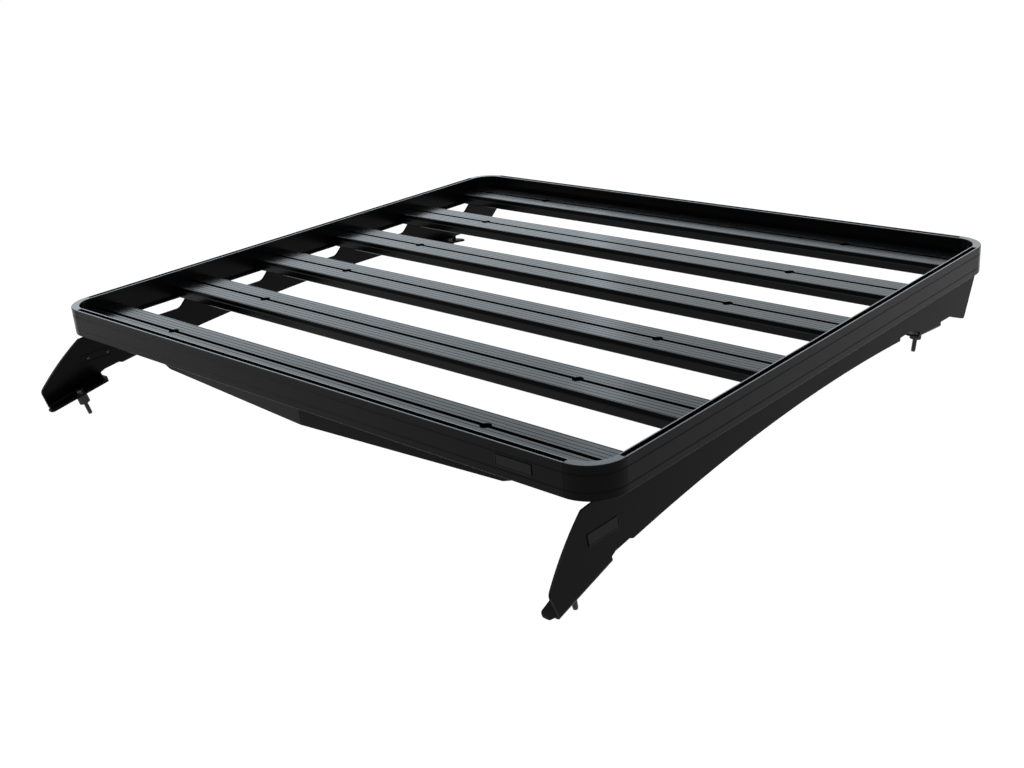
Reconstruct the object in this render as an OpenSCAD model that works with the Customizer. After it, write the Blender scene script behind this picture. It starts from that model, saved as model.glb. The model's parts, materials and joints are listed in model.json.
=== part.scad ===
// Flat platform roof rack: six slotted slats in a slotted frame, on two folded side plates.
// X runs across the vehicle and Y to its rear. Inside the modules z = 0 is the top of the rails
// and x = y = 0 the middle of the tray. The origin of the part is under the front left foot.

/* [Tray] */
// Width over the side rails
tray_w = 1261; // [1100:1:1500]
// Length over the end rails
tray_l = 1152; // [1100:1:1500]
// Outer radius of the corners
corner_r = 57; // [50:1:75]
// Gap at each seam of the frame
seam = 0.5; // [0.2:0.1:1]
// Length of the tongue that joins a corner to a rail
tongue_l = 45; // [20:1:80]

/* [Rails] */
// Height of the rails
rail_h = 50; // [46:1:60]
// Thickness of the rails over the slot
rail_t = 14.5; // [14:0.5:18]
// Width of the slot in the rails
rail_slot = 8.8; // [8:0.2:9.2]
// Thickness of the lips beside the slot
rail_lip = 3; // [2.4:0.2:4]
// Wall of the rails
rail_wall = 2; // [1.6:0.1:2.4]
// Depth of the pocket below the lips
rail_pocket = 8; // [6:0.5:10]
// Reach of the ledge that carries the slats
ledge_w = 23.5; // [22:0.5:26]
// Thickness of the ledge
ledge_t = 2.4; // [2:0.2:4]
// Depth of the upper groove below the top
groove_high = 13.5; // [12:0.5:16]
// Depth of the lower groove below the top
groove_low = 38; // [34:0.5:42]
// Radius of the grooves
groove_r = 1.3; // [1:0.1:1.5]
// Rounding of the outer edges
edge_r = 1.2; // [0.8:0.1:1.4]

/* [Slats] */
// Width of a slat
slat_w = 80.6; // [76:0.2:90]
// Height of a slat
slat_h = 23.2; // [22:0.2:26]
// Space between the tray's end and the first slat
end_space = 30.7; // [28:0.1:40]
// Gap between the end of a slat and the rail
slat_gap = 0.5; // [0.3:0.1:2]
// Wall of a slat
slat_wall = 2.5; // [2:0.1:3]
// Width of the slots in a slat
slat_slot = 8; // [7:0.2:9]
// Thickness of the lips beside the slots
slat_lip = 2.8; // [2.4:0.1:3.2]
// Width of the pocket below the lips
pocket_w = 18; // [16:0.5:20]
// Depth of the pocket below the lips
pocket_h = 7; // [6:0.1:7.4]
// Width of the fine grooves
rib_groove = 1.2; // [0.8:0.1:1.6]
// Depth of the fine grooves
rib_depth = 0.8; // [0.5:0.1:1.2]
// First fine groove, from the middle of the slat
rib_first = 10; // [10:0.1:11]
// Spacing of the fine grooves
rib_pitch = 8.7; // [8:0.1:8.9]
// Depth of the shallow channel in a slat's sides
side_channel = 1.2; // [0.6:0.1:1.5]
// Distance of the bolt entries from the middle of the slats
entry_x = 375; // [300:1:450]
// Width of a bolt entry
entry_d = 18; // [16:0.5:20]

/* [Side plates] */
// Distance of the plates' top from the tray's side
plate_in = 34.4; // [31:0.2:38]
// Lean of the plates, their lower edge outwards
lean = 9.4; // [6:0.2:11]
// Thickness of the plates
sheet = 4; // [3:0.5:5]
// Outer radius of their bends
bend_r = 6; // [5.5:0.5:8]
// Half length of an opening between two slats
scallop_half = 70; // [66:1:74]
// Depth of these openings
scallop_h = 16.7; // [10:0.1:22]
// Slope of the sides of these openings
scallop_run = 14; // [8:1:20]
// Reach of the tabs under the slats
tab_reach = 38; // [35:1:50]
// Set back of the screws in the tabs from the plate's top
screw_in = 24; // [22:1:26]
// Depth of the arch's crest below the rails
crest_drop = 50.8; // [46:0.2:54]
// Distance of the crest behind the tray's middle
crest_y = 63.6; // [40:0.2:80]
// Radius of the arch
arch_r = 4140; // [3900:10:4600]

/* [Legs] */
// Set back of the leg's top behind the tray's front
leg_top = 4.5; // [2:0.5:8]
// Depth of the leg's top
leg_top_drop = 11.3; // [10:0.1:14]
// Depth of its shoulder at the first tab
leg_shoulder = 8.5; // [8:0.1:9.5]
// Radius of the leg's curved front edge
leg_bow = 400; // [300:10:900]
// Reach of the leg's knee before the tray
leg_knee = 80.4; // [74:0.2:90]
// Depth of the knee
knee_drop = 91.2; // [84:0.2:98]
// Reach of the toe before the tray
leg_toe = 68.5; // [62:0.5:74]
// Depth of the toe
toe_drop = 129.9; // [124:0.1:136]
// Distance of the heel behind the tray's front
leg_heel = 45.3; // [42:0.1:50]
// Depth of the heel
heel_drop = 102.8; // [99:0.1:107]
// Distance of the arch's front end behind the tray's front
arch_front = 90.8; // [86:0.2:100]

/* [Rear feet] */
// Distance of the arch's rear end before the tray's rear
arch_rear = 298.6; // [290:0.2:310]
// Distance of the rear foot's front before the tray's rear
lobe_front = 226.4; // [222:0.2:232]
// Distance of the rear foot's end before the tray's rear
lobe_rear = 145.4; // [142:0.2:150]
// Depth of the foot's front
lobe_drop = 72.8; // [70:0.1:76]
// Slope of the rear foot
rear_slope = 4.6; // [3:0.1:6]
// Depth of the notch behind the foot
notch_drop = 69.5; // [66:0.5:72]
// Distance of the hook's start before the tray's rear
hook_front = 108.2; // [104:0.2:114]
// Distance of the hook's point before the tray's rear
hook_tip = 58; // [54:0.5:64]
// Depth of the hook's point
hook_drop = 89.5; // [84:0.5:96]
// Reach of the plate's tail behind the tray
tail_reach = 12; // [4:1:16]
// Slope of the tail's edge
tail_slope = 46; // [42:0.5:50]

/* [Feet] */
// Width of the foot flanges at the toe
foot_w = 30; // [29:0.5:36]
// Widening of a foot flange in its length
foot_flare = 12; // [8:0.5:16]
// Reach of the foot flanges before the plate's edge
foot_nose = 6.5; // [4:0.5:10]
// Rise of the foot flanges towards the middle
foot_rise = 4.6; // [0:0.2:8]
// Distance of the studs from the fold
stud_in = 26; // [25.5:0.5:27]
// Diameter of the studs
stud_d = 8; // [6:0.5:8]
// Length of the studs below the spacers
stud_l = 24.5; // [15:0.5:30]
// Diameter of the spacers
spacer_d = 20; // [18:0.5:21]
// Height of the spacers
spacer_h = 16.5; // [6:0.5:20]
// Distance of the front studs from the toe along the fold
front_stud = 57; // [50:1:65]
// Distance of the rear studs from the foot's front along the fold
rear_stud = 38; // [34:1:44]

/* [Wind deflector] */
// Width of the deflector at its lower corners
deflector_w = 806; // [700:2:900]
// Set back of its ends behind the tray's front
deflector_back = 67; // [64:1:70]
// Set back of its middle behind the tray's front
deflector_nose = 36; // [32:1:42]
// Height of the rails' top over its lower edge
deflector_drop = 101; // [90:0.5:115]
// Thickness of its sheet
deflector_t = 3; // [2:0.5:4]
// Reach of its top flange behind the screws
deflector_flange = 13; // [10:1:20]
// Distance of the outer screws from its lower corners
deflector_end = 95; // [80:1:120]

/* [Fasteners] */
// Width across the flats of the screw heads
head_af = 13; // [11:0.5:14]
// Height of the screw heads
head_h = 5.3; // [4:0.1:6]
// Diameter of the washers on the feet
washer_d = 18; // [16:0.5:20]
// Height of these washers
washer_h = 1.6; // [1:0.2:2]
// Clearance of the screws in their holes
hole_clear = 0.5; // [0.3:0.1:1]
// Width of the square slot nuts
nut_w = 13; // [11:0.5:15]
// Height of the slot nuts
nut_h = 4; // [3:0.5:5]

/* [Badge places] */
// Length of the blank plates
badge_l = 64; // [50:1:68]
// Height of the blank plates
badge_h = 17; // [15:0.5:20]
// Thickness of the blank plates
badge_t = 1.2; // [0.8:0.1:2]
// Distance of the front plate's middle from the tray's right side
badge_in = 141.5; // [120:0.5:180]
// Distance of the leg plates' middle behind the tray's front
badge_y = 36; // [30:0.5:44]
// Depth of the leg plates' middle below the rails
badge_drop = 53.6; // [45:0.2:60]

/* [Hidden] */

$fn = 48;
cut = 1;
slat_n = 6;
half_w = tray_w / 2;
half_l = tray_l / 2;
slat_pitch = (tray_l - 2 * end_space - slat_w) / (slat_n - 1);
slat_y = [for (i = [0 : slat_n - 1]) (i - (slat_n - 1) / 2) * slat_pitch];
slat_z = ledge_t - rail_h;
chamber_top = -rail_lip - rail_pocket - rail_wall;
plate_x = half_w - plate_in;
screw_x = plate_x - screw_in;
shank_d = slat_slot - 0.4;
arc_steps = 6;
arch_steps = 24;
bow_steps = 10;

// Points of the plates' outline, y to the rear and z up the sheet from the rails' lower edge
front_foot = [-half_l - leg_toe, -toe_drop];
front_heel = [leg_heel - half_l, -heel_drop];
front_slope = atan2(front_heel.y - front_foot.y, front_heel.x - front_foot.x);
front_foot_l = norm(front_heel - front_foot);
rear_foot = [half_l - lobe_front, -lobe_drop];
rear_foot_l = (lobe_front - lobe_rear) / cos(rear_slope);
rear_heel = rear_foot + rear_foot_l * [cos(rear_slope), -sin(rear_slope)];
tab_z = ledge_t / cos(lean);
first_tab = slat_y[0] + scallop_half - slat_pitch / 2;
foot_angle = lean + foot_rise;
bend_play = 2;
thread_d = 0.9 * stud_d;
mount_ring = (spacer_d + stud_d) / 4;
origin = foot_point(front_foot, front_slope, front_stud + mount_ring, -spacer_h);

// Points of an outline whose corners [x, y, radius] are rounded
function unit(v) = v / norm(v);
function corner(a, b, c) =
    let (u = unit([a.x - b.x, a.y - b.y]), v = unit([c.x - b.x, c.y - b.y]),
         half = acos(u * v) / 2, side = sign(u.y * v.x - u.x * v.y),
         middle = [b.x, b.y] + unit(u + v) * b.z / sin(half),
         start = [b.x, b.y] + u * b.z / tan(half) - middle)
    [for (i = [0 : arc_steps])
        let (turn = side * (180 - 2 * half) * i / arc_steps)
        middle + [start.x * cos(turn) - start.y * sin(turn), start.x * sin(turn) + start.y * cos(turn)]];
function rounded(p) =
    let (n = len(p))
    [for (i = [0 : n - 1]) each p[i].z > 0 ? corner(p[(i + n - 1) % n], p[i], p[(i + 1) % n])
                                           : [[p[i].x, p[i].y]]];

// Points of a shallow arc from a to b that bulges to its left, without its two ends
function bow(a, b, r) =
    let (u = unit(b - a), n = [-u.y, u.x], half = asin(norm(b - a) / 2 / r),
         middle = (a + b) / 2 - n * r * cos(half))
    [for (i = [1 : bow_steps - 1])
        let (turn = half * (2 * i / bow_steps - 1), q = middle + r * (n * cos(turn) + u * sin(turn)))
        [q.x, q.y, 0]];

// Height of the arch's edge, and its points from one y to another
function arch_z(y) = sqrt(arch_r * arch_r - pow(y - crest_y, 2)) - arch_r - crest_drop;
function arch(y0, y1) =
    [for (i = [0 : arch_steps]) let (y = y0 + (y1 - y0) * i / arch_steps) [y, arch_z(y), 0]];

// Length that a bend takes from the outer faces of both of its sides
function bend_l(angle) = bend_r * (1 + sin(angle)) / cos(angle);

// A point of the left foot whose fold starts at p: s along the fold, h above the flange's underside
function foot_point(p, slope, s, h) =
    let (x = stud_in * cos(foot_angle) - h * sin(foot_angle),
         up = stud_in * sin(foot_angle) + h * cos(foot_angle),
         z = p.y + s * sin(slope) + up * cos(slope))
    [x * cos(lean) + z * sin(lean) - plate_x,
     p.x + s * cos(slope) - up * sin(slope),
     z * cos(lean) - x * sin(lean) - rail_h];

module along_x(x0, x1) {
    translate([x0, 0, 0]) rotate([90, 0, 90]) linear_extrude(height = x1 - x0) children();
}

// Outline of the rails from the outer face inwards, with its two grooves
module frame_outline() {
    difference() {
        union() {
            polygon(rounded([
                [0, -rail_h, edge_r], [rail_t, -rail_h, 0], [rail_t, 0, edge_r], [0, 0, edge_r]]));
            translate([edge_r, -rail_h]) square([ledge_w - edge_r, ledge_t]);
        }
        for (z = [groove_high, groove_low])
            translate([-0.4, -z]) circle(r = groove_r);
    }
}

module rail_section() {
    slot_x = (rail_t - rail_slot) / 2;
    difference() {
        frame_outline();
        translate([slot_x, -rail_lip - cut]) square([rail_slot, rail_lip + 2 * cut]);
        translate([rail_wall, -rail_lip - rail_pocket]) square([rail_t - 2 * rail_wall, rail_pocket]);
        translate([rail_wall, slat_z]) square([rail_t - 2 * rail_wall, chamber_top - slat_z]);
    }
}

// A rail along X, its outer face on y = 0 and its ledge towards +Y
module rail(length) {
    color("#2b2b2d") along_x(-length / 2, length / 2) rail_section();
}

// A solid corner with a tongue for the hollow of each rail, around its centre
module corner_piece() {
    gap = 0.3;
    color("#2f2f31") {
        rotate_extrude(angle = 90, $fn = 96) translate([corner_r, 0]) mirror([1, 0]) frame_outline();
        for (side = [0, 1])
            mirror([side, -side, 0])
                translate([corner_r - rail_t + rail_wall + gap, -tongue_l, slat_z + gap])
                    cube([rail_t - 2 * (rail_wall + gap), tongue_l + cut, chamber_top - slat_z - 2 * gap]);
    }
}

module front_rail() { translate([0, -half_l, 0]) rail(tray_w - 2 * corner_r - 2 * seam); }
module rear_rail() { rotate(180) front_rail(); }
module right_rail() { translate([half_w, 0, 0]) rotate(90) rail(tray_l - 2 * corner_r - 2 * seam); }
module left_rail() { rotate(180) right_rail(); }
module rear_right_corner() { translate([half_w - corner_r, half_l - corner_r, 0]) corner_piece(); }
module rear_left_corner() { mirror([1, 0, 0]) rear_right_corner(); }
module front_right_corner() { mirror([0, 1, 0]) rear_right_corner(); }
module front_left_corner() { mirror([1, 0, 0]) front_right_corner(); }

// Section of a slat: slots above and below, fine grooves on top, a shallow channel in each side
module slat_section() {
    top = slat_h;
    half = slat_w / 2;
    channel = [top - 8.6, top - 2.6];
    pocket_side = pocket_w / 2 + slat_wall;
    difference() {
        polygon(rounded([[-half + 1.5, 0, 1], [half - 1.5, 0, 1], [half, 1.5, 1], [half, channel[0] - 1, 0.5],
            [half - side_channel, channel[0], 0], [half - side_channel, channel[1], 0],
            [half, channel[1], 0], [half, top, 2.2], [-half, top, 2.2], [-half, channel[1], 0],
            [side_channel - half, channel[1], 0], [side_channel - half, channel[0], 0],
            [-half, channel[0] - 1, 0.5], [-half, 1.5, 1]]));
        translate([-slat_slot / 2, top - slat_lip - cut]) square([slat_slot, slat_lip + 2 * cut]);
        translate([-pocket_w / 2, top - slat_lip - pocket_h]) square([pocket_w, pocket_h]);
        translate([-slat_slot / 2, -cut]) square([slat_slot, slat_lip + 2 * cut]);
        translate([-pocket_w / 2, slat_lip]) square([pocket_w, pocket_h]);
        for (side = [-1, 1]) {
            translate([side > 0 ? pocket_side : slat_wall + side_channel - half, slat_wall])
                square([half - slat_wall - side_channel - pocket_side, top - 2 * slat_wall]);
            for (i = [0 : 3])
                translate([side * (rib_first + i * rib_pitch) - rib_groove / 2, top - rib_depth])
                    square([rib_groove, rib_depth + cut]);
        }
    }
}

// The space inside the frame that the slats fill from side to side
module tray_space() {
    r = corner_r - rail_t - slat_gap;
    x = half_w - corner_r;
    y = half_l - corner_r;
    translate([0, 0, -rail_h]) linear_extrude(height = rail_h) {
        square([2 * (x + r), 2 * y], center = true);
        square([2 * x, 2 * (y + r)], center = true);
        for (sx = [-1, 1], sy = [-1, 1])
            translate([sx * x, sy * y]) circle(r = r, $fn = 96);
    }
}

module slat(i) {
    color("#8d9093") difference() {
        intersection() {
            translate([0, slat_y[i], slat_z]) along_x(-half_w, half_w) slat_section();
            tray_space();
        }
        for (side = [-1, 1])
            translate([side * entry_x, slat_y[i], slat_z + slat_h - slat_lip - pocket_h / 2])
                cylinder(d = entry_d, h = slat_lip + pocket_h);
    }
}

// Frame of the right plate: x = 0 is its outer face and z = 0 the rails' lower edge
module leaned() {
    translate([plate_x, 0, -rail_h]) rotate([0, -lean, 0]) children();
}

// Frame of a fold that starts at p: x runs in from the sheet, y along the fold and z up the sheet
module on_fold(p, slope) {
    translate([0, p.x, p.y]) rotate([slope, 0, 0]) mirror([1, 0, 0]) children();
}

// Frame of the flange that starts at this fold, z = 0 its underside
module on_flange() { rotate([0, -foot_angle, 0]) children(); }

module along_y(y0, y1) {
    translate([0, y1, 0]) rotate([90, 0, 0]) linear_extrude(height = y1 - y0) children();
}

// Section of the sheet, its bend and a flange that rises by the angle
module bend_section(up, reach, angle) {
    end = reach * [cos(angle), sin(angle)];
    back = sheet * [-sin(angle), cos(angle)];
    inside = sheet * (1 + sin(angle)) / cos(angle);
    polygon(rounded([[0, up, 0], [0, 0, bend_r], [end.x, end.y, 0], [end.x + back.x, end.y + back.y, 0],
        [sheet, inside, bend_r - sheet], [sheet, up, 0]]));
}

// The outline's points at a foot: its two ends square to the fold, over the height of the bend
function foot_edge(heel, toe, slope) =
    let (up = (bend_l(foot_angle) + bend_play + 1) * [-sin(slope), cos(slope)],
         side = 0.3 * [cos(slope), sin(slope)])
    [for (p = [heel + up + side, heel + side, toe - side, toe + up - side]) [p.x, p.y, 0]];

// Outline of the upright sheet: leg, top, tail, hook, rear foot, arch and front foot
module plate_outline() {
    front_end = arch_front - half_l;
    rear_end = half_l - arch_rear;
    hook = half_l - hook_front;
    tail = half_l + tail_reach;
    barb = [half_l - hook_tip, -hook_drop];
    knee = [-half_l - leg_knee, -knee_drop];
    brow = [leg_top - half_l, -leg_top_drop];
    polygon(rounded(concat(
        [[knee.x, knee.y, 12]], bow(knee, brow, leg_bow),
        [[brow.x, brow.y, 3], [first_tab, -leg_shoulder, 3], [first_tab, tab_z, 0],
         [-first_tab, tab_z, 0], [-first_tab, -leg_shoulder, 3], [tail, 0.7 - leg_top_drop, 3],
         [tail, barb.y + (tail - barb.x - 4) * tan(tail_slope), 2],
         [barb.x + 4, barb.y, 9], [hook, -notch_drop, 2]],
        foot_edge(rear_heel, rear_foot, -rear_slope),
        [[rear_foot.x - 30, arch_z(rear_end) + 5, 12], [rear_end + 2.5, arch_z(rear_end) + 5, 2]],
        arch(rear_end, front_end),
        [[front_end - 8, arch_z(front_end) + 3, 2], [front_heel.x + 6.5, arch_z(front_end) - 1, 3]],
        foot_edge(front_heel, front_foot, front_slope))));
}

// The opening between two tabs, its middle at y and open at the top
module scallop(y) {
    low = -scallop_h;
    top = 20;
    polygon(rounded([[y - scallop_half, top, 0], [y - scallop_half, -1, 8],
        [y - scallop_half + scallop_run, low, 15], [y + scallop_half - scallop_run, low, 15],
        [y + scallop_half, -1, 8], [y + scallop_half, top, 0]]));
}

// Frame of the fold along the plate's top, z down the sheet
module on_top() {
    translate([0, 0, tab_z]) mirror([0, 0, 1]) mirror([1, 0, 0]) children();
}

// The part of the flat sheet that a bend replaces
module bent_zone(y0, y1, angle) {
    depth = 40;
    translate([-cut, y0, -depth]) cube([sheet + 2 * cut, y1 - y0, depth + bend_l(angle) + bend_play]);
}

// A folded foot: its flange has a rounded nose before the plate's edge and widens to its rear
module foot(length, stud) {
    start = bend_l(foot_angle);
    up = start + bend_play + 4;
    difference() {
        intersection() {
            along_y(-foot_nose - cut, length + cut) bend_section(up, 2 * foot_w, foot_angle);
            on_flange() translate([0, 0, -cut]) linear_extrude(height = 2 * up)
                polygon(rounded([[-up, 0, 0], [start + 3.5, 0, 0.5], [start + 6.5, -foot_nose, 3],
                    [foot_w, -foot_nose, 8], [foot_w + foot_flare, length - 7, 4],
                    [foot_w - 4, length, 3], [-up, length, 0]]));
        }
        on_flange() translate([stud_in, stud, -cut]) cylinder(d = stud_d + hole_clear, h = sheet + 2 * cut);
    }
}

// The right plate: a leaning sheet with tabs folded under the slats and two folded feet
module side_plate() {
    end = half_l + tail_reach + cut;
    over = 8;
    feet = [[front_foot, front_slope, front_foot_l, front_stud],
        [rear_foot, -rear_slope, rear_foot_l, rear_stud]];
    color("#333335") difference() {
        leaned() {
            difference() {
                along_x(-sheet, 0) plate_outline();
                on_top() bent_zone(-end, end, -lean);
                for (f = feet)
                    on_fold(f[0], f[1]) bent_zone(-over, f[2] + over, foot_angle);
            }
            on_top() along_y(first_tab, -first_tab) bend_section(over, tab_reach, -lean);
            for (f = feet)
                on_fold(f[0], f[1]) foot(f[2], f[3]);
        }
        leaned() for (i = [0 : slat_n - 2])
            along_x(-tab_reach - 10, cut) scallop((slat_y[i] + slat_y[i + 1]) / 2);
        for (y = slat_y)
            translate([screw_x, y, slat_z - sheet - cut])
                cylinder(d = shank_d + hole_clear, h = sheet + 2 * cut);
    }
}

module right_side_plate() { side_plate(); }
module left_side_plate() { mirror([1, 0, 0]) side_plate(); }

// A foot screw: its head and washer on the flange, its shank in the spacer and a thinner free end below
module foot_screw() {
    color("#55565a") {
        translate([0, 0, sheet]) cylinder(d = washer_d, h = washer_h);
        translate([0, 0, sheet + washer_h]) cylinder(d = head_af / cos(30), h = head_h, $fn = 6);
        translate([0, 0, -spacer_h]) cylinder(d = stud_d, h = spacer_h + sheet + cut);
        translate([0, 0, -spacer_h - stud_l]) cylinder(d = thread_d, h = stud_l + cut);
    }
}

module foot_spacer() {
    color("#1c1c1c") translate([0, 0, -spacer_h]) difference() {
        cylinder(d = spacer_d, h = spacer_h);
        translate([0, 0, -cut]) cylinder(d = stud_d + hole_clear, h = spacer_h + 2 * cut);
    }
}

module on_front_stud() {
    leaned() on_fold(front_foot, front_slope) on_flange() translate([stud_in, front_stud, 0]) children();
}

module on_rear_stud() {
    leaned() on_fold(rear_foot, -rear_slope) on_flange() translate([stud_in, rear_stud, 0]) children();
}

module front_right_foot_screw() { on_front_stud() foot_screw(); }
module front_left_foot_screw() { mirror([1, 0, 0]) front_right_foot_screw(); }
module rear_right_foot_screw() { on_rear_stud() foot_screw(); }
module rear_left_foot_screw() { mirror([1, 0, 0]) rear_right_foot_screw(); }
module front_right_foot_spacer() { on_front_stud() foot_spacer(); }
module front_left_foot_spacer() { mirror([1, 0, 0]) front_right_foot_spacer(); }
module rear_right_foot_spacer() { on_rear_stud() foot_spacer(); }
module rear_left_foot_spacer() { mirror([1, 0, 0]) rear_right_foot_spacer(); }

// A hex screw that comes from below a sheet into a slat's lower slot, with its slot nut
module slot_screw(under) {
    nut_z = slat_z + slat_lip;
    color("#6a6b6e") {
        translate([0, 0, under - head_h]) cylinder(d = head_af / cos(30), h = head_h, $fn = 6);
        translate([0, 0, under - cut]) cylinder(d = shank_d, h = nut_z - under + cut + nut_h + 1);
        translate([-nut_w / 2, -nut_w / 2, nut_z]) cube([nut_w, nut_w, nut_h]);
    }
}

module right_slat_screws() {
    for (y = slat_y)
        translate([screw_x, y, 0]) slot_screw(slat_z - sheet);
}
module left_slat_screws() { mirror([1, 0, 0]) right_slat_screws(); }

// The deflector: a sheet folded to a blunt nose, hung by a flange under the first slat
function deflector_line(back) =
    let (nose = deflector_nose - half_l + back, run = (deflector_back - deflector_nose) / (deflector_w / 2))
    [for (x = [-deflector_w / 2 - 20, 0, deflector_w / 2 + 20]) [x, nose + run * abs(x)]];
function reverse(p) = [for (i = [len(p) - 1 : -1 : 0]) p[i]];
deflector_screw_x = [for (i = [-1, -1 / 3, 1 / 3, 1]) i * (deflector_w / 2 - deflector_end)];

module wind_deflector() {
    end = 16;
    drop = deflector_drop;
    rear = slat_y[0] + deflector_flange;
    wide = deflector_w / 2 + 20;
    color("#2a2a2c") difference() {
        intersection() {
            union() {
                translate([0, 0, -drop]) linear_extrude(height = drop + slat_z)
                    polygon(concat(deflector_line(0), reverse(deflector_line(deflector_t))));
                translate([0, 0, slat_z - deflector_t]) linear_extrude(height = deflector_t)
                    polygon(concat(deflector_line(0), [[wide, rear], [-wide, rear]]));
            }
            translate([0, half_l, 0]) rotate([90, 0, 0]) linear_extrude(height = tray_l + 2 * half_l)
                polygon([[-deflector_w / 2, -drop], [deflector_w / 2, -drop],
                    [deflector_w / 2 + end, 5 - drop], [deflector_w / 2 + end, slat_z],
                    [-deflector_w / 2 - end, slat_z], [-deflector_w / 2 - end, 5 - drop]]);
        }
        for (x = deflector_screw_x)
            translate([x, slat_y[0], slat_z - deflector_t - cut])
                cylinder(d = shank_d + hole_clear, h = deflector_t + 2 * cut);
    }
}

module deflector_screws() {
    for (x = deflector_screw_x)
        translate([x, slat_y[0], 0]) slot_screw(slat_z - deflector_t);
}

// A blank plate with a raised rim, its back on z = 0
module badge() {
    rim = 1.4;
    color("#3c3c3e") difference() {
        linear_extrude(height = badge_t)
            polygon(rounded([for (p = [[-1, -1], [1, -1], [1, 1], [-1, 1]])
                [p.x * badge_l / 2, p.y * badge_h / 2, 1.5]]));
        translate([rim - badge_l / 2, rim - badge_h / 2, badge_t / 2])
            cube([badge_l - 2 * rim, badge_h - 2 * rim, badge_t]);
    }
}

module front_badge_plate() {
    translate([half_w - badge_in, -half_l, -(groove_high + groove_low) / 2]) rotate([90, 0, 0]) badge();
}

module right_leg_badge_plate() {
    leaned() translate([0, badge_y - half_l, -badge_drop]) rotate([90, 0, 90]) badge();
}
module left_leg_badge_plate() { mirror([1, 0, 0]) right_leg_badge_plate(); }

module placed() { translate(-origin) children(); }

placed() front_rail();
placed() rear_rail();
placed() left_rail();
placed() right_rail();
placed() front_left_corner();
placed() front_right_corner();
placed() rear_left_corner();
placed() rear_right_corner();
placed() slat(0);  // slat_1
placed() slat(1);  // slat_2
placed() slat(2);  // slat_3
placed() slat(3);  // slat_4
placed() slat(4);  // slat_5
placed() slat(5);  // slat_6
placed() left_side_plate();
placed() right_side_plate();
placed() front_left_foot_screw();
placed() front_right_foot_screw();
placed() rear_left_foot_screw();
placed() rear_right_foot_screw();
placed() front_left_foot_spacer();
placed() front_right_foot_spacer();
placed() rear_left_foot_spacer();
placed() rear_right_foot_spacer();
placed() wind_deflector();
placed() left_slat_screws();
placed() right_slat_screws();
placed() deflector_screws();
placed() front_badge_plate();
placed() left_leg_badge_plate();
placed() right_leg_badge_plate();
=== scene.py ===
import json
import math

import bmesh
import bpy
from mathutils import Matrix, Vector


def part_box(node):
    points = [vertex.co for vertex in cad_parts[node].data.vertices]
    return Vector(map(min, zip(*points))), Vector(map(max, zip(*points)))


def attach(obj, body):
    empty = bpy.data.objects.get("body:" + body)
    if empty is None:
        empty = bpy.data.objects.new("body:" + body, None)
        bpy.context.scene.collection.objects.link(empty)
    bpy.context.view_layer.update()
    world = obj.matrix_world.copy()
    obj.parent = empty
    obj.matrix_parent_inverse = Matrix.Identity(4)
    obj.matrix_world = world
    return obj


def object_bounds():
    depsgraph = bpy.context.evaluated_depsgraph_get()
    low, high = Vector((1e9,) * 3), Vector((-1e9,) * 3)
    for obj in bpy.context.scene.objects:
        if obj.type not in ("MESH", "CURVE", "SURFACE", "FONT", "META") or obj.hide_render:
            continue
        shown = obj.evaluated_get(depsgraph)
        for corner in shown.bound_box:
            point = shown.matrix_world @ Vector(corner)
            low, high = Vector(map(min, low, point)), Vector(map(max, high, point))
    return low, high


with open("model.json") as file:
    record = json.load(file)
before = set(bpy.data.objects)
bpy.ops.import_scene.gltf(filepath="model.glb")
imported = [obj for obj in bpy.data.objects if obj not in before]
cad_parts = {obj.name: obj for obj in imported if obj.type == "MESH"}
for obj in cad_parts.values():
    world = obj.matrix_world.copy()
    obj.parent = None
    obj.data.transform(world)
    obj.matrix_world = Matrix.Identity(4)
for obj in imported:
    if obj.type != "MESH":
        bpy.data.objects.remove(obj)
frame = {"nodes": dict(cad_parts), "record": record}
CAD_BOX = [list(map(float, c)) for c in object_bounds()]

# The tray's middle, level with the rails' top
left_low, right_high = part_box("left_rail")[0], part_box("right_rail")[1]
front_low, rear_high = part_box("front_rail")[0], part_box("rear_rail")[1]
TRAY = Vector(((left_low.x + right_high.x) / 2, (front_low.y + rear_high.y) / 2, right_high.z))

# The camera stands where the photograph was taken: solved from its straight edges.
# Its place counts from the tray's middle
CAMERA_PLACE = Vector((1.52905, -1.66431, 0.69187))
CAMERA_RIGHT = Vector((0.74323362, 0.66537837, -0.06982416))
CAMERA_UP = Vector((-0.20114309, 0.32176886, 0.92520606))
CAMERA_BACK = Vector((0.63807934, -0.6735996, 0.3729857))
LENS_MM = 45.309
SENSOR_MM = 36.0

camera = bpy.data.objects.new("camera", bpy.data.cameras.new("camera"))
bpy.context.collection.objects.link(camera)
camera.data.sensor_width = SENSOR_MM
camera.data.lens = LENS_MM
camera.data.clip_start = 0.05
camera.data.clip_end = 60.0
turn = Matrix((CAMERA_RIGHT, CAMERA_UP, CAMERA_BACK)).transposed().to_4x4()
camera.matrix_world = Matrix.Translation(TRAY + CAMERA_PLACE) @ turn
bpy.context.scene.camera = camera
bpy.context.scene.view_settings.view_transform = "Standard"


# Helpers for node trees
def of_type(tree, kind):
    """The node of a type that a new tree starts with."""
    return next(n for n in tree.nodes if n.type == kind)


def add(tree, kind, **values):
    """A new node, with values for its inputs or settings by name."""
    node = tree.nodes.new(kind)
    for key, value in values.items():
        if key in node.inputs:
            node.inputs[key].default_value = value
        else:
            setattr(node, key, value)
    return node


def join(tree, source, out, target, into):
    """Links an output of one node to an input of another."""
    tree.links.new(source.outputs[out], target.inputs[into])


def noise(tree, scale, detail, roughness=0.5):
    """A noise in the object's own coordinates."""
    place = add(tree, "ShaderNodeTexCoord")
    pattern = add(tree, "ShaderNodeTexNoise", Scale=scale, Detail=detail, Roughness=roughness)
    join(tree, place, "Object", pattern, "Vector")
    return pattern


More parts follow.
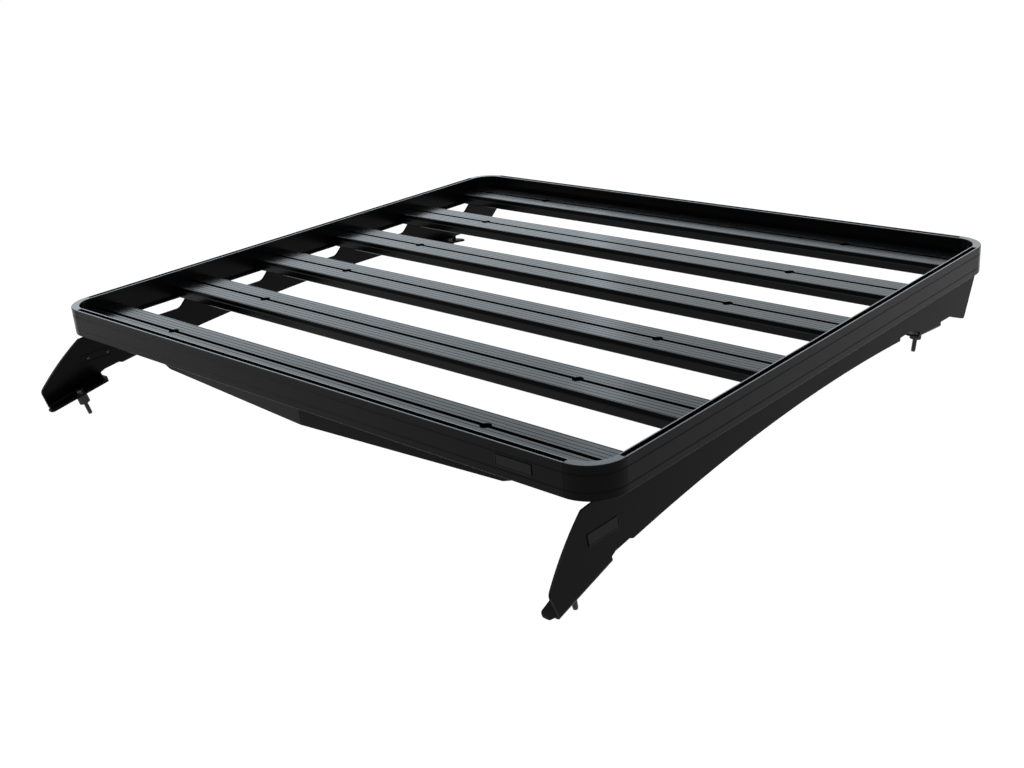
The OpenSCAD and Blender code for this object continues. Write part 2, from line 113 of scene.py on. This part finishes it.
def mapped(tree, source, out, low, high, start=0.0, end=1.0):
    """A value between start and end, taken to one between low and high."""
    ranges = {"From Min": start, "From Max": end, "To Min": low, "To Max": high}
    node = add(tree, "ShaderNodeMapRange", **ranges)
    join(tree, source, out, node, "Value")
    return node


def mottle(tree, shader, pattern, color, dark, light, start=0.0, end=1.0):
    """Lets a noise change a shader's colour between two shares of it."""
    shade = add(tree, "ShaderNodeValToRGB")
    for element, position, share in zip(shade.color_ramp.elements, (start, end), (dark, light)):
        element.position = position
        element.color = (*[c * share for c in color], 1)
    join(tree, pattern, "Fac", shade, "Fac")
    join(tree, shade, "Color", shader, "Base Color")


def vary_gloss(tree, shader, pattern, rough, spread):
    """Lets a noise change a shader's roughness."""
    gloss = mapped(tree, pattern, "Fac", rough - spread, rough + spread)
    join(tree, gloss, "Result", shader, "Roughness")


def roughen(tree, shader, pattern, strength, depth):
    """Lets a noise raise small bumps on a surface."""
    bumps = add(tree, "ShaderNodeBump", Strength=strength, Distance=depth)
    join(tree, pattern, "Fac", bumps, "Height")
    join(tree, bumps, "Normal", shader, "Normal")


def node_material(name):
    """A new material, its node tree and its shader."""
    mat = bpy.data.materials.new(name)
    mat.use_nodes = True
    return mat, mat.node_tree, of_type(mat.node_tree, "BSDF_PRINCIPLED")


# Painted highlight: where a coat's specular level is raised on upward faces, the z of its normal from not
# at all to fully, and its depth below the rails' top
HIGHLIGHT_FACING_UP = (0.55, 0.9)
HIGHLIGHT_DEPTH = (0.006, 0.002)

# Painted shade in a band: how dull the band is, as a share of the level beside it, and how far its two
# edges fade
SHADE_SHARE = 0.25
SHADE_FADE_LOW = 0.001
SHADE_FADE_HIGH = 0.0006


def painted_highlight_mask(tree):
    """A node that is 1 on what faces up level with the rails' top, and 0 elsewhere: where a highlight is
    painted.
    """
    face = add(tree, "ShaderNodeNewGeometry")
    both = add(tree, "ShaderNodeMath", operation="MULTIPLY")
    heights = [TRAY.z - depth for depth in HIGHLIGHT_DEPTH]
    for i, (what, (start, end)) in enumerate((("Normal", HIGHLIGHT_FACING_UP), ("Position", heights))):
        parts = add(tree, "ShaderNodeSeparateXYZ")
        join(tree, face, what, parts, "Vector")
        join(tree, mapped(tree, parts, "Z", 0.0, 1.0, start, end), "Result", both, i)
    return both


def painted_shade_level(tree, band, specular):
    """A node with a specular level that is lower between the band's two heights: painted shade."""
    face = add(tree, "ShaderNodeNewGeometry")
    parts = add(tree, "ShaderNodeSeparateXYZ")
    join(tree, face, "Position", parts, "Vector")
    level = add(tree, "ShaderNodeMath", operation="MAXIMUM")
    low, high = band
    for i, (start, end) in enumerate(((low, low - SHADE_FADE_LOW), (high, high + SHADE_FADE_HIGH))):
        side = mapped(tree, parts, "Z", SHADE_SHARE * specular, specular, start, end)
        join(tree, side, "Result", level, i)
    return level


def coat(name, color, rough, specular, top=None, band=None, grain=900.0, peel=0.25):
    """Powder coat: an orange-peel bump and slow changes of gloss and colour.

    top is a higher specular level for what faces up level with the rails' top, a painted highlight, and
    band a low and a high z between which the sides are duller, painted shade."""
    mat, tree, shader = node_material(name)
    slow = noise(tree, 9.0, 3.0, 0.6)
    mottle(tree, shader, slow, color, 0.88, 1.12, 0.3, 0.7)
    vary_gloss(tree, shader, slow, rough, 0.05)
    roughen(tree, shader, noise(tree, grain, 2.0), peel, 0.00006)
    # Painted highlight on upward faces at the rails' top, or painted shade in a band on the sides
    if top:
        level = mapped(tree, painted_highlight_mask(tree), "Value", specular, top)
        join(tree, level, "Result", shader, "Specular IOR Level")
    elif band:
        join(tree, painted_shade_level(tree, band, specular), "Value", shader, "Specular IOR Level")
    else:
        shader.inputs["Specular IOR Level"].default_value = specular
    return mat


def steel(name, color, rough):
    """Dark zinc plating: a slightly mottled metal."""
    mat, tree, shader = node_material(name)
    spots = noise(tree, 260.0, 4.0, 0.6)
    mottle(tree, shader, spots, color, 0.8, 1.2)
    vary_gloss(tree, shader, spots, rough, 0.08)
    roughen(tree, shader, spots, 0.2, 0.00005)
    shader.inputs["Metallic"].default_value = 1.0
    return mat


def rubber(name, color, rough):
    """Dull black rubber with a fine skin."""
    mat, tree, shader = node_material(name)
    skin = noise(tree, 1500.0, 3.0)
    mottle(tree, shader, skin, color, 0.8, 1.25)
    roughen(tree, shader, skin, 0.3, 0.00008)
    shader.inputs["Roughness"].default_value = rough
    return mat


# The materials. The slats' side channel, where shade is painted as a duller band, lies between these two
# depths below their top
SHADED_CHANNEL_DEPTH = (0.0078, 0.0012)
SHADED_CHANNEL = [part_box("slat_1")[1].z - depth for depth in SHADED_CHANNEL_DEPTH]
BLACK = (0.0024, 0.0024, 0.0026)
# The rail and corner coats get a painted highlight on their tops, and the slat coat gets painted shade in
# its side channel
FRAME_COAT = coat("rail coat", BLACK, 0.24, 0.07, top=0.45)
CORNER_COAT = coat("corner coat", BLACK, 0.20, 0.06, top=0.21, grain=700.0)
SLAT_COAT = coat("slat coat", (0.0022, 0.0024, 0.0028), 0.18, 0.095, band=SHADED_CHANNEL, grain=800.0)
PLATE_COAT = coat("plate coat", BLACK, 0.34, 0.06, grain=650.0, peel=0.4)
BADGE_COAT = coat("badge coat", (0.0045, 0.0045, 0.0047), 0.34, 0.11, grain=1200.0)
SCREW_STEEL = steel("screw steel", (0.05, 0.05, 0.054), 0.36)
SPACER_RUBBER = rubber("spacer rubber", (0.008, 0.008, 0.008), 0.7)


def material_of(name):
    """The material of a CAD node, by its name."""
    if name.endswith(("_screw", "_screws")):
        return SCREW_STEEL
    if name.endswith("_spacer"):
        return SPACER_RUBBER
    if name.endswith("badge_plate"):
        return BADGE_COAT
    if name.startswith("slat_"):
        return SLAT_COAT
    if name.endswith("side_plate") or name == "wind_deflector":
        return PLATE_COAT
    if name.endswith("corner"):
        return CORNER_COAT
    return FRAME_COAT


for name, obj in frame["nodes"].items():
    if not obj.material_slots:
        obj.data.materials.append(material_of(name))
    for material_slot in obj.material_slots:
        material_slot.material = material_of(name)


# Helpers for meshes
SQUARE = ((-1, -1), (1, -1), (1, 1), (-1, 1))
TURNED_SIDES = 24


def piece(name, bm, mat):
    """Makes an object of a mesh, which rides on the part."""
    bmesh.ops.recalc_face_normals(bm, faces=bm.faces)
    mesh = bpy.data.meshes.new(name)
    bm.to_mesh(mesh)
    bm.free()
    mesh.materials.append(mat)
    obj = bpy.data.objects.new(name, mesh)
    bpy.context.collection.objects.link(obj)
    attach(obj, "root")


def bridge(bm, loops):
    """Faces between each closed loop of vertices and the next."""
    for a, b in zip(loops, loops[1:]):
        for i in range(len(a)):
            j = (i + 1) % len(a)
            bm.faces.new((a[i], a[j], b[j], b[i]))


def close(bm, loops):
    """Faces between the loops, and one over each end."""
    bridge(bm, loops)
    bm.faces.new(loops[0][::-1])
    bm.faces.new(loops[-1])


def turned(bm, profile, place):
    """A turned body from (radius, height) points, closed at both ends, put in place by a matrix."""
    angles = [2 * math.pi * i / TURNED_SIDES for i in range(TURNED_SIDES)]
    rings = [[bm.verts.new(place @ Vector((r * math.cos(a), r * math.sin(a), h))) for a in angles]
             for r, h in profile]
    close(bm, rings)


def axes(place, along, side):
    """A matrix put at a place, with its z along one direction and its x towards another."""
    z = Vector(along).normalized()
    x = (Vector(side) - z * z.dot(Vector(side))).normalized()
    return Matrix.Translation(place) @ Matrix((x, z.cross(x), z)).transposed().to_4x4()


# Thread ridges on the free ends of the four studs: pitch and radii, and half a ridge's width at
# root and crest as shares of the pitch
PITCH = 0.00125
TURN_STEPS = 28
RIDGE_ROOT = 0.0035
RIDGE_CREST = 0.004
ROOT_HALF = 0.45
CREST_HALF = 0.08


def thread(bm, place, length):
    """A ridge that winds up a stud from a place, and runs out within a turn at both ends."""
    steps = (int(length / PITCH) - 1) * TURN_STEPS
    rows = []
    for i in range(steps + 1):
        angle = 2 * math.pi * i / TURN_STEPS
        taper = min(1.0, i / TURN_STEPS, (steps - i) / TURN_STEPS)
        height = PITCH * (0.5 + i / TURN_STEPS)
        crest = RIDGE_ROOT + (RIDGE_CREST - RIDGE_ROOT) * taper
        section = ((RIDGE_ROOT, -ROOT_HALF), (crest, -CREST_HALF),
                   (crest, CREST_HALF), (RIDGE_ROOT, ROOT_HALF))
        points = [(r * math.cos(angle), r * math.sin(angle), height + share * PITCH)
                  for r, share in section]
        rows.append([bm.verts.new(place @ Vector(point)) for point in points])
    close(bm, rows)


for mount in frame["record"]["mounts"]:
    if mount["name"].endswith("_stud"):
        along = Vector(mount["axis"])
        half = mount["dims"]["length_mm"] / 2000
        bm = bmesh.new()
        thread(bm, axes(Vector(mount["pos_m"]) - half * along, along, (0, 1, 0)), 2 * half)
        piece(mount["name"] + "_thread", bm, SCREW_STEEL)


# The back of each leg's badge place, on the plate's inner face. The plate leans outwards, and the
# badge's middle lies half its thickness outside the sheet
LEAN = math.radians(9.4)
SHEET = 0.004
BADGE_HALF = 0.0006

# A thin rim: half its length and height, its width, thickness and rounded edge, and how far it
# is sunk
RIM_HALF_Y = 0.0315
RIM_HALF_Z = 0.008
RIM_WIDE = 0.0011
RIM_THICK = 0.0007
RIM_EDGE = 0.0003
RIM_SUNK = 0.0003
RIM_FLANK = 0.6 * RIM_THICK
RIM_SECTION = ((0, -RIM_SUNK), (0, RIM_FLANK), (-RIM_EDGE, RIM_THICK), (-RIM_WIDE + RIM_EDGE, RIM_THICK),
               (-RIM_WIDE, RIM_FLANK), (-RIM_WIDE, -RIM_SUNK))

# Two low screw heads with a socket: their places from the rim's middle, and radii and heights
HEAD_PLACES = (-0.0165, 0.0250)
HEAD_DROP = 0.001
HEAD_PROFILE = ((0.0034, -0.0004), (0.0034, 0.0006), (0.0031, 0.0013), (0.0024, 0.0019),
                (0.0017, 0.0021), (0.0015, 0.0012), (0.0012, 0.0011))


def badge_rim(middle, rise, out):
    """A flat ring along the edge of the badge place, as a mesh."""
    bm = bmesh.new()
    loops = []
    for grow, high in RIM_SECTION:
        half_y, half_z = RIM_HALF_Y + grow, RIM_HALF_Z + grow
        loops.append([bm.verts.new(middle + Vector((0, half_y * y, 0)) + rise * (half_z * z) - out * high)
                      for y, z in SQUARE])
    bridge(bm, loops + loops[:1])
    return bm


def badge_heads(middle, rise, out):
    """The two screw heads of the badge place, as one mesh."""
    bm = bmesh.new()
    for y in HEAD_PLACES:
        turned(bm, HEAD_PROFILE, axes(middle + Vector((0, y, 0)) - rise * HEAD_DROP, -out, (0, 1, 0)))
    return bm


for side, sign in (("left", -1), ("right", 1)):
    low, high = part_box(side + "_leg_badge_plate")
    out = Vector((sign * math.cos(LEAN), 0, math.sin(LEAN)))
    rise = Vector((-sign * math.sin(LEAN), 0, math.cos(LEAN)))
    middle = (low + high) / 2 - out * (SHEET + BADGE_HALF)
    piece(side + "_badge_back_rim", badge_rim(middle, rise, out), PLATE_COAT)
    piece(side + "_badge_back_screws", badge_heads(middle, rise, out), SCREW_STEEL)


# Floor and light. The camera sees the floor as a mix of its own grey and of a white, and
# FLOOR_SEEN is the white's share
FLOOR_HALF = 14.0
FLOOR_GAP = 0.001
FLOOR_WHITE = 1.12
FLOOR_SEEN = 0.9
FLOOR_DARK = 0.78
FLOOR_LIGHT = 0.80
SKY_COLOR = (0.9, 0.95, 1.0, 1)
SKY_STRENGTH = 0.25


def seen_white(tree, surface, white, seen):
    """Mixes into a surface a white that only the camera and glossy or clear surfaces see."""
    path = add(tree, "ShaderNodeLightPath")
    rays = path.outputs["Is Camera Ray"]
    for other in ("Is Glossy Ray", "Is Transmission Ray"):
        either = add(tree, "ShaderNodeMath", operation="MAXIMUM")
        tree.links.new(rays, either.inputs[0])
        tree.links.new(path.outputs[other], either.inputs[1])
        rays = either.outputs[0]
    share = add(tree, "ShaderNodeMath", operation="MULTIPLY")
    share.inputs[1].default_value = seen
    tree.links.new(rays, share.inputs[0])
    glow = add(tree, "ShaderNodeEmission", Strength=white)
    mix = add(tree, "ShaderNodeMixShader")
    join(tree, share, 0, mix, 0)
    tree.links.new(surface, mix.inputs[1])
    join(tree, glow, 0, mix, 2)
    return mix.outputs[0]


floor_z = CAD_BOX[0][2] - FLOOR_GAP
floor_mesh = bpy.data.meshes.new("floor")
floor_mesh.from_pydata([(FLOOR_HALF * x, FLOOR_HALF * y, floor_z) for x, y in SQUARE], [], [(0, 1, 2, 3)])
floor = bpy.data.objects.new("floor", floor_mesh)
bpy.context.collection.objects.link(floor)

floor_mat, ground, floor_shader = node_material("pale floor")
grit = add(ground, "ShaderNodeTexNoise", Scale=6.0, Detail=2.0)
mottle(ground, floor_shader, grit, (1, 1, 1), FLOOR_DARK, FLOOR_LIGHT)
floor_shader.inputs["Roughness"].default_value = 1.0
floor_shader.inputs["Specular IOR Level"].default_value = 0.0
floor_mix = seen_white(ground, floor_shader.outputs[0], FLOOR_WHITE, FLOOR_SEEN)
ground.links.new(floor_mix, of_type(ground, "OUTPUT_MATERIAL").inputs[0])
floor.data.materials.append(floor_mat)

world = bpy.data.worlds.new("studio")
world.use_nodes = True
bpy.context.scene.world = world
sky = world.node_tree
sky_shader = of_type(sky, "BACKGROUND")
sky_shader.inputs["Color"].default_value = SKY_COLOR
sky_shader.inputs["Strength"].default_value = SKY_STRENGTH
sky_mix = seen_white(sky, sky_shader.outputs[0], white=1.0, seen=1.0)
sky.links.new(sky_mix, of_type(sky, "OUTPUT_WORLD").inputs[0])


def lamp(name, away, width, height, watts, color=(1, 1, 1)):
    """A soft rectangular lamp, put away from the tray's middle and aimed at it."""
    data = bpy.data.lights.new(name, "AREA")
    data.shape = "RECTANGLE"
    data.size, data.size_y = width, height
    data.energy = watts
    data.color = color
    obj = bpy.data.objects.new(name, data)
    bpy.context.collection.objects.link(obj)
    obj.location = TRAY + away
    obj.rotation_euler = (TRAY - (TRAY + away)).to_track_quat("-Z", "Y").to_euler()


# The lamps' colours, and how far off the two back lights stand
PALE_BLUE = (0.95, 0.97, 1.0)
BLUE = (0.74, 0.89, 1.0)
BACK_FAR = 4.0

lamp("top light", Vector((0, 0.4, 3.0)), 3.0, 3.0, 45.0, PALE_BLUE)
lamp("back light left", BACK_FAR * Vector((-0.787, 0.524, 0.342)), 2.8, 2.0, 28.0, BLUE)
lamp("back light right", BACK_FAR * Vector((-0.306, 0.889, 0.342)), 2.6, 2.0, 20.0, BLUE)
lamp("key light", Vector((-3.2, -2.2, 1.6)), 1.6, 1.6, 25.0)
